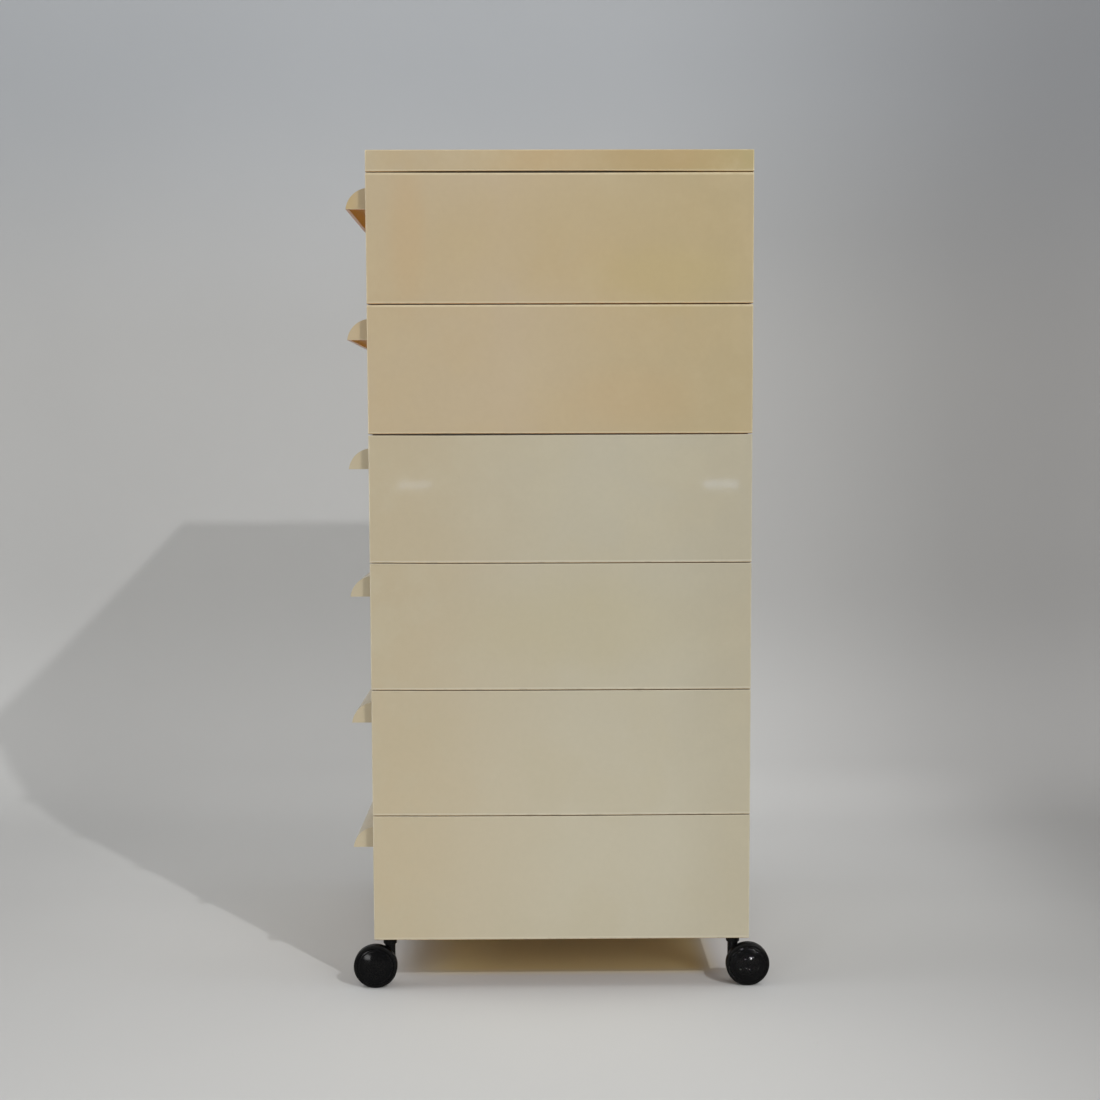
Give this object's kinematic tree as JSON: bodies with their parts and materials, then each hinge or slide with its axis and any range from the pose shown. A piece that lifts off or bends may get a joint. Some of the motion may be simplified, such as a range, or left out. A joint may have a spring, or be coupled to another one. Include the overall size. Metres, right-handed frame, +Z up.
{
  "type": "modular chest of drawers",
  "caption": "Tall narrow chest of stacked open-fronted plastic units under a shallow cover, each with a drawer whose quarter-round pull spans its front, on small black disc castors.",
  "frame": {"origin": "on the floor, under the middle of the chest", "axes": "+Z up, the drawers open towards -Y, +Y is the back, and +X is on the right of someone who faces the drawers"},
  "size_m": [0.42, 0.468, 0.9265],
  "materials": {
    "yellowed_cream_abs": "semi-gloss moulded ABS, yellowed with age",
    "pale_cream_abs": "semi-gloss moulded ABS",
    "black_nylon": "satin moulded nylon",
    "black_wheel_nylon": "satin moulded nylon, worn on the tread",
    "black_glossy_nylon": "glossy moulded nylon",
    "zinc_plated_steel": "zinc plated, turned"
  },
  "bodies": {
    "chest": {"top_cover": "yellowed_cream_abs", "shell_1": "yellowed_cream_abs", "shell_2": "yellowed_cream_abs", "shell_3": "pale_cream_abs", "shell_4": "pale_cream_abs", "shell_5": "pale_cream_abs", "shell_6": "pale_cream_abs", "front_left_castor_bush": "black_nylon", "front_right_castor_bush": "black_nylon", "back_left_castor_bush": "black_nylon", "back_right_castor_bush": "black_nylon"},
    "drawer_1": {"drawer_1": "yellowed_cream_abs"},
    "drawer_2": {"drawer_2": "yellowed_cream_abs"},
    "drawer_3": {"drawer_3": "pale_cream_abs"},
    "drawer_4": {"drawer_4": "pale_cream_abs"},
    "drawer_5": {"drawer_5": "pale_cream_abs"},
    "drawer_6": {"drawer_6": "pale_cream_abs"},
    "front_left_castor_fork": {"front_left_castor_pin": "zinc_plated_steel", "front_left_castor_body": "black_nylon", "front_left_castor_axle": "zinc_plated_steel"},
    "front_left_castor_roller": {"front_left_castor_wheel": "black_wheel_nylon", "front_left_castor_cap": "black_glossy_nylon"},
    "front_right_castor_fork": {"front_right_castor_pin": "zinc_plated_steel", "front_right_castor_body": "black_nylon", "front_right_castor_axle": "zinc_plated_steel"},
    "front_right_castor_roller": {"front_right_castor_wheel": "black_wheel_nylon", "front_right_castor_cap": "black_glossy_nylon"},
    "back_left_castor_fork": {"back_left_castor_pin": "zinc_plated_steel", "back_left_castor_body": "black_nylon", "back_left_castor_axle": "zinc_plated_steel"},
    "back_left_castor_roller": {"back_left_castor_wheel": "black_wheel_nylon", "back_left_castor_cap": "black_glossy_nylon"},
    "back_right_castor_fork": {"back_right_castor_pin": "zinc_plated_steel", "back_right_castor_body": "black_nylon", "back_right_castor_axle": "zinc_plated_steel"},
    "back_right_castor_roller": {"back_right_castor_wheel": "black_wheel_nylon", "back_right_castor_cap": "black_glossy_nylon"}
  },
  "joints": [
    {"name": "drawer_1_slide", "type": "slide", "parent": "chest", "child": "drawer_1", "axis": [0, -1, 0], "range_m": [0, 0.32]},
    {"name": "drawer_2_slide", "type": "slide", "parent": "chest", "child": "drawer_2", "axis": [0, -1, 0], "range_m": [0, 0.32]},
    {"name": "drawer_3_slide", "type": "slide", "parent": "chest", "child": "drawer_3", "axis": [0, -1, 0], "range_m": [0, 0.32]},
    {"name": "drawer_4_slide", "type": "slide", "parent": "chest", "child": "drawer_4", "axis": [0, -1, 0], "range_m": [0, 0.32]},
    {"name": "drawer_5_slide", "type": "slide", "parent": "chest", "child": "drawer_5", "axis": [0, -1, 0], "range_m": [0, 0.32]},
    {"name": "drawer_6_slide", "type": "slide", "parent": "chest", "child": "drawer_6", "axis": [0, -1, 0], "range_m": [0, 0.32]},
    {"name": "front_left_castor_swivel", "type": "hinge", "parent": "chest", "child": "front_left_castor_fork", "pos_m": [-0.19, -0.194, 0.04], "axis": [0, 0, 1], "continuous": true},
    {"name": "front_left_castor_spin", "type": "hinge", "parent": "front_left_castor_fork", "child": "front_left_castor_roller", "pos_m": [-0.201, -0.2095, 0.0245], "axis": [1, 0, 0], "continuous": true},
    {"name": "front_right_castor_swivel", "type": "hinge", "parent": "chest", "child": "front_right_castor_fork", "pos_m": [0.19, -0.194, 0.04], "axis": [0, 0, 1], "continuous": true},
    {"name": "front_right_castor_spin", "type": "hinge", "parent": "front_right_castor_fork", "child": "front_right_castor_roller", "pos_m": [0.201, -0.2095, 0.0245], "axis": [1, 0, 0], "continuous": true},
    {"name": "back_left_castor_swivel", "type": "hinge", "parent": "chest", "child": "back_left_castor_fork", "pos_m": [-0.19, 0.194, 0.04], "axis": [0, 0, 1], "continuous": true},
    {"name": "back_left_castor_spin", "type": "hinge", "parent": "back_left_castor_fork", "child": "back_left_castor_roller", "pos_m": [-0.201, 0.2095, 0.0245], "axis": [1, 0, 0], "continuous": true},
    {"name": "back_right_castor_swivel", "type": "hinge", "parent": "chest", "child": "back_right_castor_fork", "pos_m": [0.19, 0.194, 0.04], "axis": [0, 0, 1], "continuous": true},
    {"name": "back_right_castor_spin", "type": "hinge", "parent": "back_right_castor_fork", "child": "back_right_castor_roller", "pos_m": [0.201, 0.2095, 0.0245], "axis": [1, 0, 0], "continuous": true}
  ]
}
